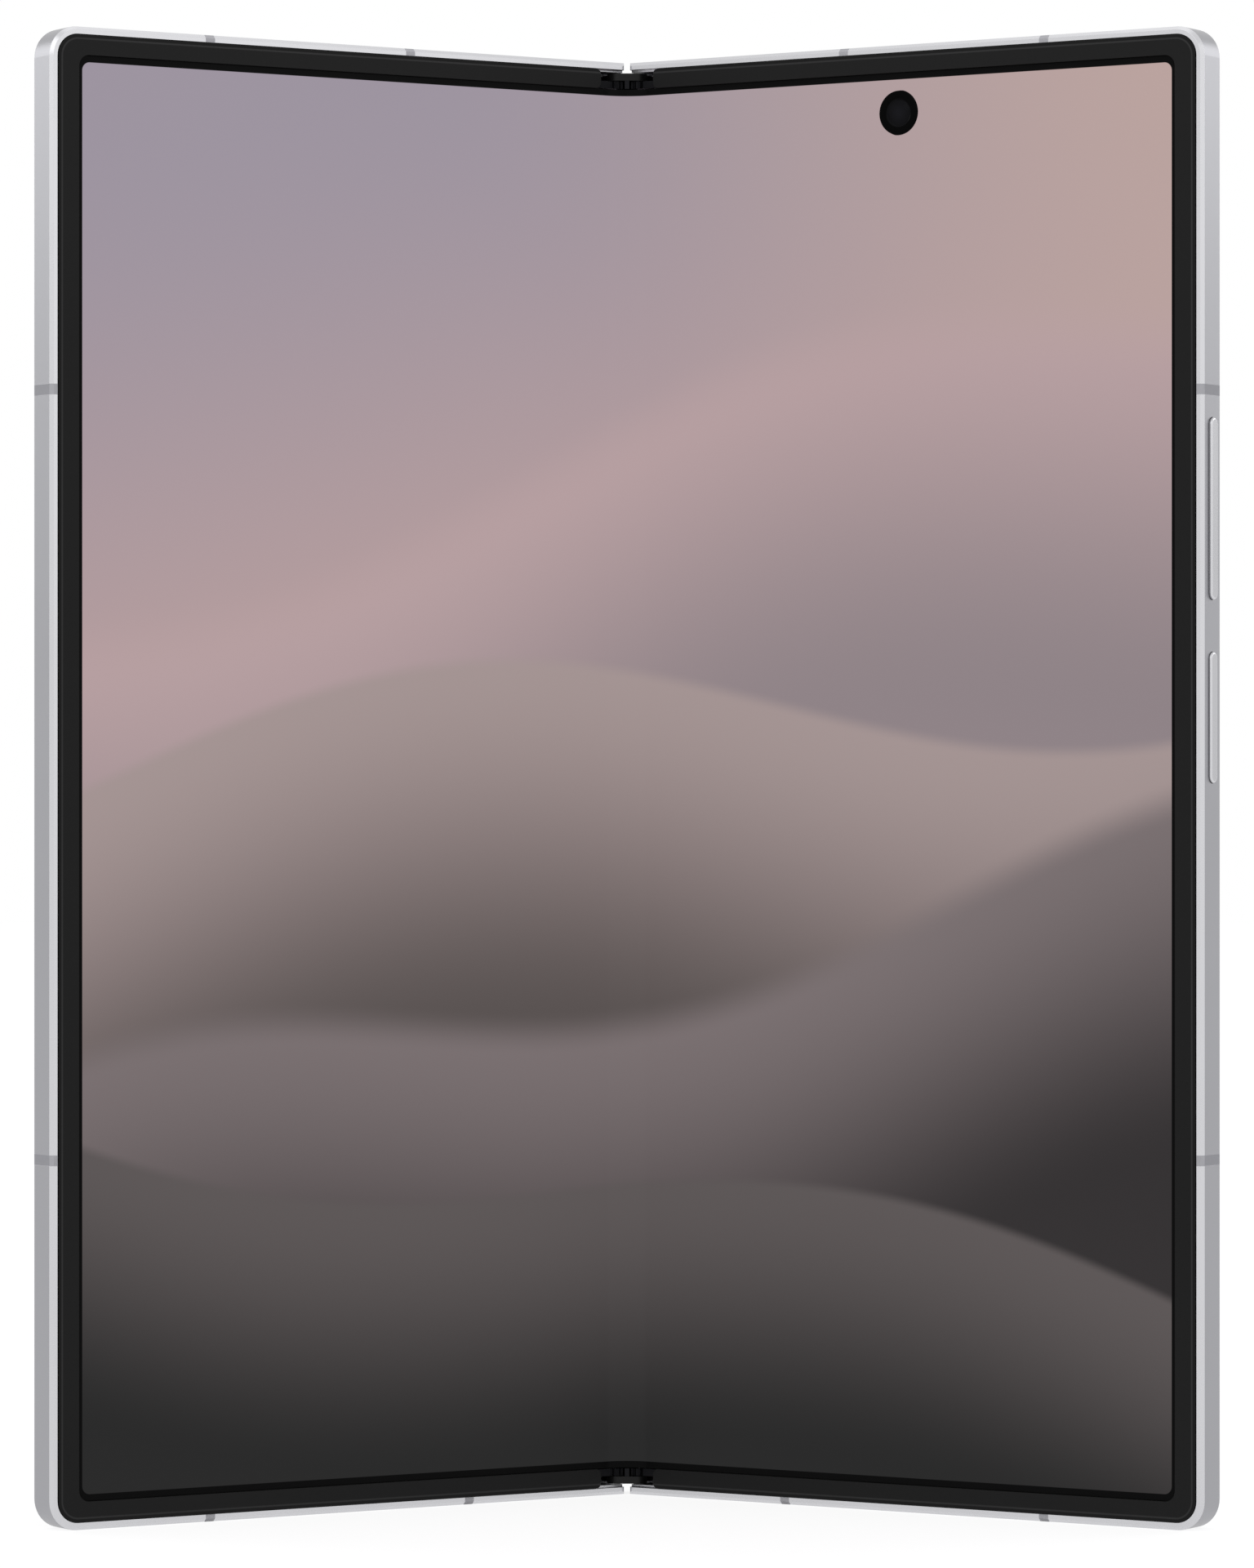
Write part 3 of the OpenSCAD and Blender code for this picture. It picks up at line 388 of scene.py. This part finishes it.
def screen_half(side, with_hole):
    """A grid over one half; with_hole leaves out a square and fills it with rings about the hole,
    whose outermost points are the square's own grid points."""
    edge_x = HALF_W - RIM - BEZEL_SIDE + BEZEL_LAP
    square = HOLE_R + HOLE_MARGIN
    across = np.concatenate([np.linspace(0, BEND_HALF, BEND_COLUMNS),
                             np.linspace(BEND_HALF, edge_x, PANEL_COLUMNS)])
    low, high = RIM + BEZEL_END - BEZEL_LAP, BODY_H - RIM - BEZEL_END + BEZEL_LAP
    up = np.linspace(low, high, SCREEN_ROWS)
    cuts = np.linspace(-square, square, HOLE_CUTS + 1)
    across = np.unique(np.append(across[np.abs(across - HOLE_X) > square + HOLE_CLEAR], HOLE_X + cuts))
    up = np.unique(np.append(up[np.abs(up - HOLE_Z) > square + HOLE_CLEAR], HOLE_Z + cuts))
    along, height = np.meshgrid(across, up)
    # beside the hinge's end caps the sheet ends level with the bezel's inner edge
    inset = np.where(along < BEZEL_FOLD_END, BEZEL_LAP, 0)
    height = np.where(height == low, low + inset, np.where(height == high, high - inset, height))
    flat = np.stack([along.ravel(), height.ravel()], axis=-1)
    faces = sheet_faces(len(up), len(across))
    if with_hole:
        centre = flat[faces].mean(axis=1)
        faces = faces[~(np.abs(centre - (HOLE_X, HOLE_Z)) < square).all(axis=1)]
        side_run = np.stack([cuts[:-1], np.full(HOLE_CUTS, -square)], axis=-1)
        quarter = np.array([[0, 1], [-1, 0]])
        outline = np.concatenate([side_run @ np.linalg.matrix_power(quarter, turn) for turn in range(4)])
        circle = outline / np.linalg.norm(outline, axis=1)[:, None] * HOLE_R
        rings = [circle + (outline - circle) * part for part in HOLE_RINGS]
        ring_faces = sheet_faces(len(rings), len(outline), close_columns=True) + len(flat)
        flat = np.concatenate([flat, np.concatenate(rings) + (HOLE_X, HOLE_Z)])
        faces = np.concatenate([faces, ring_faces[:, ::-1]])
    if side < 0:
        faces = faces[:, ::-1]
    return screen_front(flat[:, 0], flat[:, 1], side), faces, flat * (side, 1) / PICTURE_UNIT


def add_piece(name, points, faces, uv, finish, replaces, body=None):
    """Makes a mesh of points and faces with its own UV map and material, rides it on its body, if
    it has one, and stands it in for CAD nodes."""
    mesh = bpy.data.meshes.new(name)
    mesh.from_pydata(points.reshape(-1, 3).tolist(), [], [list(map(int, face)) for face in faces])
    mesh.validate()
    layer = mesh.uv_layers.new(name="place")
    loops = np.empty(len(mesh.loops), dtype=np.int32)
    mesh.loops.foreach_get("vertex_index", loops)
    layer.data.foreach_set("uv", uv.reshape(-1, 2)[loops].astype(np.float32).ravel())
    mesh.materials.append(finish.material)
    piece = bpy.data.objects.new(name, mesh)
    bpy.context.collection.objects.link(piece)
    if body:
        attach(piece, body)
    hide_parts(*replaces)
    return piece


SEAM_WELD = 1e-7


def thickened(piece, thickness):
    """Welds a sheet's points, and gives it its thickness in mm behind its face."""
    work = bmesh.new()
    work.from_mesh(piece.data)
    bmesh.ops.remove_doubles(work, verts=work.verts, dist=SEAM_WELD)
    bmesh.ops.solidify(work, geom=work.faces, thickness=thickness * MM)
    work.to_mesh(piece.data)
    work.free()
    smooth_by_angle(piece.data, 30)


def map_place(finish):
    """The two values of the piece's own UV map."""
    uv_map = finish.node("ShaderNodeUVMap", dict(uv_map="place"))[0]
    return finish.node("ShaderNodeSeparateXYZ", {}, uv_map)[:2]


screen = Finish("lit_screen", Base_Color=(0.003, 0.003, 0.003), Roughness=0.22, IOR=1.45,
                Specular_IOR_Level=0.05, Emission_Strength=1.0)
u, v = map_place(screen)


def crest_line(height, rise, swing, count, phase):
    """A dune's crest: a height that rises with u and swings as a sine."""
    return (u * count + phase).alone("SINE") * swing + u * rise + height


def dune(below, crest, softness, depth, light, dark):
    """Lays a dune over the picture: light along its crest, darker with the distance below it."""
    under = crest - v
    shade = screen.mix((under / depth).step(0, 1), light, dark)
    return screen.mix(under.step(0, softness), below, shade)


haze = screen.mix((v - u * 0.25).step(0.9, 1.65), linear("B59C9C"), linear("9C939F"))
picture = screen.mix((u * 0.8 + v * 0.6).step(0.7, 1.6), haze, linear("BBA39E"))
# from the farthest dune to the nearest: its crest, the crest's softness, its depth and colours
for crest, softness, depth, light, dark in (
        ((1.18, 0.22, 0.07, 4.2, 0.6), 0.10, 0.45, "B8A0A2", "8E8286"),
        ((0.86, 0.10, 0.09, 3.6, 2.4), 0.02, 0.42, "A39392", "57504F"),
        ((0.60, 0.20, 0.06, 4.6, 4.4), 0.05, 0.40, "7A7071", "322F30"),
        ((0.34, -0.16, 0.06, 3.9, 0.2), 0.015, 0.30, "5C5656", "262626")):
    picture = dune(picture, crest_line(*crest), softness, depth, linear(light), linear(dark))
picture_side = (HALF_W - RIM - BEZEL_SIDE - BORDER_SIDE) / PICTURE_UNIT
picture_end = (RIM + BEZEL_END + BORDER_END) / PICTURE_UNIT
picture_depth = inside(u, v, picture_side, picture_end, BODY_H / 2 / PICTURE_UNIT, PICTURE_R / PICTURE_UNIT)
screen.link(Emission_Color=screen.mix(picture_depth.step(0, 0.0005), (0.0, 0.0, 0.0), picture))

# each sheet is laid over its half at the resting angle and bent round the fold
for side, sign in (("left", -1), ("right", 1)):
    points, faces, uv = screen_half(sign, side == "right")
    nodes = (side + "_screen", "fold_screen") if side == "left" else (side + "_screen",)
    sheet = add_piece(side + "_screen_sheet", points, faces, uv, screen, nodes)
    thickened(sheet, SCREEN_T)
    tuple(screen_front(np.array([BEND_HALF]), np.array([BLEND_Z]), sign)[0])
    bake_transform(sheet)

# ---- The inner camera ----
# A small lens under a round window that fills the hole in the screen: a black painted ring round a
# dark barrel, with the lens's dome in the middle. The black module is glued in behind it.
WINDOW_GAP, WINDOW_DROP = 0.06, 0.06
REVOLVED_STEPS = 72


def revolved(profile, radius, centre, face, outward):
    """Revolves a profile about an axis across the right half's thickness. Each row gives a share of
    the radius and the depth in mm below the face, which points outwards for outward 1 and inwards
    for -1: x and z go round the centre by the cosine and sine, and y is the face less the depth."""
    turn = np.linspace(0, 2 * math.pi, REVOLVED_STEPS + 1)[:-1]
    share, depth = profile[:, :1], profile[:, 1:]
    x = centre[0] + share * radius * np.cos(turn)
    z = centre[1] + share * radius * np.sin(turn)
    y = np.broadcast_to(face - depth * outward, x.shape)
    uv = np.broadcast_to(share[..., None], (*x.shape, 2))
    faces = sheet_faces(len(profile), REVOLVED_STEPS, close_columns=True)
    return to_world(np.stack([x, y, z], axis=-1), 1), faces, uv


def add_lens(name, shape, finish, node):
    """Stands a revolved shape in for a node of the right half, closes its poles and seams, and turns
    its faces outwards."""
    piece = add_piece(name, *shape, finish, (node,), body="right_half")
    work = bmesh.new()
    work.from_mesh(piece.data)
    bmesh.ops.remove_doubles(work, verts=work.verts, dist=SEAM_WELD)
    bmesh.ops.recalc_face_normals(work, faces=work.faces)
    work.to_mesh(piece.data)
    work.free()
    smooth_by_angle(piece.data, 40)


def dress(finish, *nodes):
    """Gives CAD nodes their material."""
    for node in nodes:
        mesh = frame["nodes"][node].data
        mesh.materials.clear()
        mesh.materials.append(finish.material)


window_black = Finish("window_black", IOR=1.5, Specular_IOR_Level=0.03)
window_share = map_place(window_black)[0]
window_barrel = window_black.mix(window_share.step(0.0, 0.6), linear("1D1D21"), linear("141416"))
window_black.link(Base_Color=window_black.mix(window_share.step(0.6, 0.66), window_barrel, linear("030303")),
                  Roughness=0.12 + window_black.noise(8000.0) * 0.06)
window_profile = np.array([(0, 0.0), (0.2, 0.012), (0.4, 0.05), (0.58, 0.12), (0.62, 0.02), (0.66, 0.0),
                           (0.97, 0.0), (1.0, 0.02), (1.0, 0.28), (0, 0.28)])
window = revolved(window_profile, HOLE_R - WINDOW_GAP, (HOLE_X, HOLE_Z), SCREEN_RECESS + WINDOW_DROP, -1)
add_lens("inner_camera_lens", window, window_black, "inner_camera_window")
sensor_black = speckled("sensor_black", 2000.0, "101012", "1A1A1D", Roughness=0.5)
dress(sensor_black, "inner_camera")

# ---- The hinge ----
# Black moulded caps close the ends of the steel spine, whose anodised cover shows behind the fold.
# Inside, geared arms and arc rails in blackened steel carry the two halves round it.
cap_black = speckled("cap_black", 3000.0, "121212", "1A1A1A",
                     Roughness=0.4, IOR=1.45, Specular_IOR_Level=0.2)
softened("hinge_end_caps", cap_black, 0.12)
spine_metal = anodised("spine_metal", linear("A9A9AD"), 0.36)
softened("spine_cover", spine_metal, 0.05)
blackened_steel = anodised("blackened_steel", linear("1E1E20"), 0.42)
dress(blackened_steel, "left_hinge_arms", "right_hinge_arms", "left_rail_arms", "right_rail_arms",
      "hinge_pin_blocks", "hinge_rail_blocks", "spine_bar")
bright_steel = anodised("bright_steel", linear("3A3A3E"), 0.28)
dress(bright_steel, "hinge_pins", "left_idler_gears", "right_idler_gears", "left_arm_screws",
      "right_arm_screws")

# ---- The mid plates ----
# Pressed alloy plates that stiffen the halves behind the screen. They are dull grey from the die,
# and the rolled grain runs up them.
plate_grey = Finish("plate_grey", Metallic=1.0)
grain = plate_grey.node("ShaderNodeMapping", {}, plate_grey.place(), Scale=(1.0, 1.0, 0.05))[0]
rolled = plate_grey.noise(2500.0, 4.0, grain)
plate_grey.link(Base_Color=plate_grey.mix(rolled, linear("6E6E72"), linear("8A8A8E")),
                Roughness=0.35 + rolled * 0.2)
dress(plate_grey, "left_mid_plate", "right_mid_plate")

# ---- The keys ----
# Two anodised pills in slots in the right rail: the long one for volume, the short one for power.
# They press on contacts that sit on a strip of amber film with copper traces.
key_silver = anodised("key_silver", linear("B8B8BB"), 0.28)
# their rounded edges take the lighter edge finish, a painted highlight
for name in ("volume_key", "side_key"):
    softened(name, key_silver, 0.2, 3, edge=polish_and_painted_highlight)
flex_amber = Finish("flex_amber", Roughness=0.3, IOR=1.5)
traces = flex_amber.noise(700.0, 1.0).step(0.48, 0.52)
flex_amber.link(Base_Color=flex_amber.mix(traces, linear("5B3A17"), linear("8A5A22")))
dress(flex_amber, "key_flex")

# ---- The outer glasses ----
# Toughened glass, glued into the frames: etched and silver grey on the back, clear and black over
# the outer display, where the barrel of the outer camera just shows in its painted ring.
OUTER_CAMERA_X = 36.0
PAINT_EDGE, BARREL_EDGE = (1.95, 2.05), (1.1, 1.25)
etched = Finish("etched_glass", IOR=1.5, Specular_IOR_Level=0.5)
etched_specks = etched.noise(14000.0, 2.0)
etched_clouds = etched.noise(40.0, 2.0)
etched.link(Base_Color=etched.mix(etched_clouds, linear("B3B3B7"), linear("B9B9BC")),
            Roughness=0.34 + etched_specks * 0.1, Metallic=0.35 + etched_specks * 0.2)
etched.bump(etched_specks, 0.05, 0.00001)
softened("right_back_glass", etched, 0.08)
clear_black = Finish("black_glass", IOR=1.5, Specular_IOR_Level=0.25)
smears = clear_black.noise(90.0, 4.0)
flat_x, flat_z = flat_place(clear_black)
off_x, off_z = flat_x - OUTER_CAMERA_X, flat_z - HOLE_Z
from_camera = (off_x * off_x + off_z * off_z).alone("SQRT")
display = clear_black.mix(smears, linear("08080A"), linear("0D0D10"))
painted = clear_black.mix(from_camera.step(*PAINT_EDGE), linear("000000"), display)
clear_black.link(Base_Color=clear_black.mix(from_camera.step(*BARREL_EDGE), linear("1C1B26"), painted),
                 Roughness=0.03 + smears * 0.06)
softened("cover_glass", clear_black, 0.08)
dress(clear_black, "cover_display", "cover_camera")

# ---- The rear cameras ----
# A raised pill of blasted metal holds three lenses in turned rings, and a small flash between two.
# Each lens is a coated dome in a barrel of black steps, with its module behind it.
BODY_T, LENS_COUNT = 4.2, 3
ISLAND_W, ISLAND_L, ISLAND_SIDE, ISLAND_DROP, ISLAND_RAISE = 17, 50, 2.8, 6, 2.2
LENS_BORE_R, LENS_GAP, LENS_PITCH, LENS_RAISE = 5.2, 0.04, 15.4, 0.35
lens_x, island_z = HALF_W - ISLAND_SIDE - ISLAND_W / 2, BODY_H - ISLAND_DROP - ISLAND_L / 2
lens_face = BODY_T + ISLAND_RAISE + LENS_RAISE
island_metal = anodised("island_metal", linear("B2B2B6"), 0.4)
# its rounded edges take the lighter edge finish, a painted highlight
softened("camera_island", island_metal, 0.18, 3, edge=polish_and_painted_highlight)
turned = Finish("turned_ring", Metallic=1.0)
turned_lines = turned.noise(20000.0, 1.0)
turned.link(Base_Color=turned.mix(turned_lines, linear("A8A8AC"), linear("C8C8CB")),
            Roughness=0.16 + turned_lines * 0.1)
softened("lens_rings", turned, 0.12)

lens_profile = np.array([(0, 0.22), (0.12, 0.23), (0.24, 0.27), (0.34, 0.34), (0.40, 0.42), (0.42, 0.28),
                         (0.52, 0.28), (0.54, 0.18), (0.64, 0.18), (0.66, 0.09), (0.78, 0.09), (0.80, 0.01),
                         (0.97, 0.0), (1.0, 0.03), (1.0, 1.5), (0, 1.5)])
lens_glass = Finish("lens_glass", IOR=1.5, Specular_IOR_Level=0.2, Coat_Weight=0.25, Coat_Roughness=0.02)
lens_share = map_place(lens_glass)[0]
dust = lens_glass.noise(6000.0)
coating = lens_glass.mix(lens_share.step(0.05, 0.36), linear("241C3A"), linear("0B1420"))
lens_glass.link(Base_Color=lens_glass.mix(lens_share.step(0.36, 0.44), coating, linear("0A0A0B")),
                Roughness=0.08 + dust * 0.1)
module_black = speckled("module_black", 2000.0, "161618", "222225", Roughness=0.5)
dress(module_black, "rear_camera_modules")
for number in range(LENS_COUNT):
    lens_z = island_z + (number - (LENS_COUNT - 1) / 2) * LENS_PITCH
    lens = revolved(lens_profile, LENS_BORE_R - LENS_GAP, (lens_x, lens_z), lens_face, 1)
    add_lens("rear_lens_%d" % (number + 1), lens, lens_glass, "rear_lenses")
flash_yellow = speckled("flash_diffuser", 4000.0, "EBDCBE", "F5ECDA",
                        Roughness=0.35, IOR=1.5, Subsurface_Weight=0.2)
dress(flash_yellow, "flash_lens")

# ---- The ports ----
# A drawn steel socket for charging, fixed in the bottom edge, and a milled tray for the card, which
# slides out of the top edge and is anodised like the rail.
port_steel = anodised("port_steel", linear("8C8C90"), 0.3)
dress(port_steel, "usb_port")
dress(silver, "card_tray")

# ---- The inner pieces ----
# Batteries in black foil, green boards under tinned shields, a moulded black motor and speakers,
# and a wound copper coil. They are glued or screwed inside the halves.
foil = Finish("battery_foil", Roughness=0.4, IOR=1.45)
foil.link(Base_Color=foil.mix(foil.noise(300.0, 5.0), linear("1D1D20"), linear("2B2B2F")))
foil.bump(foil.noise(400.0, 4.0), 0.2, 0.00005)
dress(foil, "left_battery", "right_battery")
board_green = Finish("board_green", Roughness=0.35, IOR=1.5)
tracks = board_green.noise(900.0, 2.0).step(0.5, 0.54)
board_green.link(Base_Color=board_green.mix(tracks, linear("123A24"), linear("1D5A36")))
dress(board_green, "main_board", "bottom_board", "left_board")
tinned = anodised("tinned_shield", linear("C0C0C2"), 0.3)
dress(tinned, "board_shields", "left_shields", "card_reader")
moulded_black = speckled("moulded_black", 2500.0, "151517", "202023", Roughness=0.55, IOR=1.45)
dress(moulded_black, "bottom_speaker", "earpiece_speaker", "vibration_motor")
copper = Finish("wound_copper", Metallic=1.0, Roughness=0.3)
strands = copper.noise(5000.0, 2.0)
copper.link(Base_Color=copper.mix(strands, linear("A5623A"), linear("C98455")))
copper.bump(strands, 0.3, 0.00005)
dress(copper, "charging_coil")

# ---- The studio ----
# A plain floor under a white background. A key, a fill and a top lamp light the phone from in front
# and above, and two lamps at the sides behind it grade the sides of its frame.
FLOOR_HALF, FLOOR_GLOW = 3, 0.84
LAMP_AIM = (0, 0, 0.08)
floor_mesh = bpy.data.meshes.new("floor")
floor_corners = [(x * FLOOR_HALF, y * FLOOR_HALF, 0) for x, y in ((-1, -1), (1, -1), (1, 1), (-1, 1))]
floor_mesh.from_pydata(floor_corners, [], [(0, 1, 2, 3)])
floor = bpy.data.objects.new("floor", floor_mesh)
bpy.context.collection.objects.link(floor)


def white_where_seen(tree, shade, white, output):
    """Mixes a shade with plain white for camera, glossy and transmission rays, into an output node."""
    path = add_node(tree, "ShaderNodeLightPath", {})
    names = [socket.name for socket in tree.nodes[-1].outputs]
    seen = path[names.index("Is Camera Ray")]
    seen = seen + path[names.index("Is Glossy Ray")] + path[names.index("Is Transmission Ray")]
    mixed = add_node(tree, "ShaderNodeMixShader", {}, seen.clamp(), shade, white)[0]
    tree.links.new(mixed.socket, tree.nodes.new(output).inputs[0])


world = bpy.data.worlds.new("studio")
bpy.context.scene.world = world
world.use_nodes = True
sky = world.node_tree
sky.nodes.clear()
soft = add_node(sky, "ShaderNodeBackground", {}, (0.9, 0.9, 0.92), 0.6)[0]
white = add_node(sky, "ShaderNodeBackground", {}, (1.0, 1.0, 1.0), 1.0)[0]
white_where_seen(sky, soft, white, "ShaderNodeOutputWorld")

floor_finish = bpy.data.materials.new("floor")
floor_finish.use_nodes = True
ground = floor_finish.node_tree
ground.nodes.clear()
matt = add_node(ground, "ShaderNodeBsdfDiffuse", {}, (0.8, 0.8, 0.8))[0]
shadowed = add_node(ground, "ShaderNodeBsdfDiffuse", {}, (0.3, 0.3, 0.3))[0]
glow = add_node(ground, "ShaderNodeEmission", {}, (1.0, 1.0, 1.0), FLOOR_GLOW)[0]
pale = add_node(ground, "ShaderNodeAddShader", {}, shadowed, glow)[0]
white_where_seen(ground, matt, pale, "ShaderNodeOutputMaterial")
floor_mesh.materials.append(floor_finish)


def add_lamp(name, place, size, power):
    """A square area lamp at place, turned towards the middle of the phone."""
    data = bpy.data.lights.new(name, "AREA")
    data.shape, data.size, data.energy = "SQUARE", size, power
    lamp = bpy.data.objects.new(name, data)
    lamp.location = place
    x, y, z = np.array(LAMP_AIM) - np.array(place)
    lamp.rotation_euler = (math.atan2(math.hypot(x, y), -z), 0, math.atan2(y, x) - math.pi / 2)
    bpy.context.collection.objects.link(lamp)


add_lamp("key_lamp", (-0.5, -0.9, 0.8), 1.0, 2.4)
add_lamp("fill_lamp", (0.8, -0.7, 0.5), 0.8, 0.6)
add_lamp("top_lamp", (0, 0.1, 1.0), 0.6, 0.4)
add_lamp("left_lamp", (-1.1, 0.54, 0.5), 0.5, 1.3)
add_lamp("right_lamp", (1.1, 0.54, 0.5), 0.5, 1.3)

bpy.context.scene.view_settings.view_transform = "Standard"
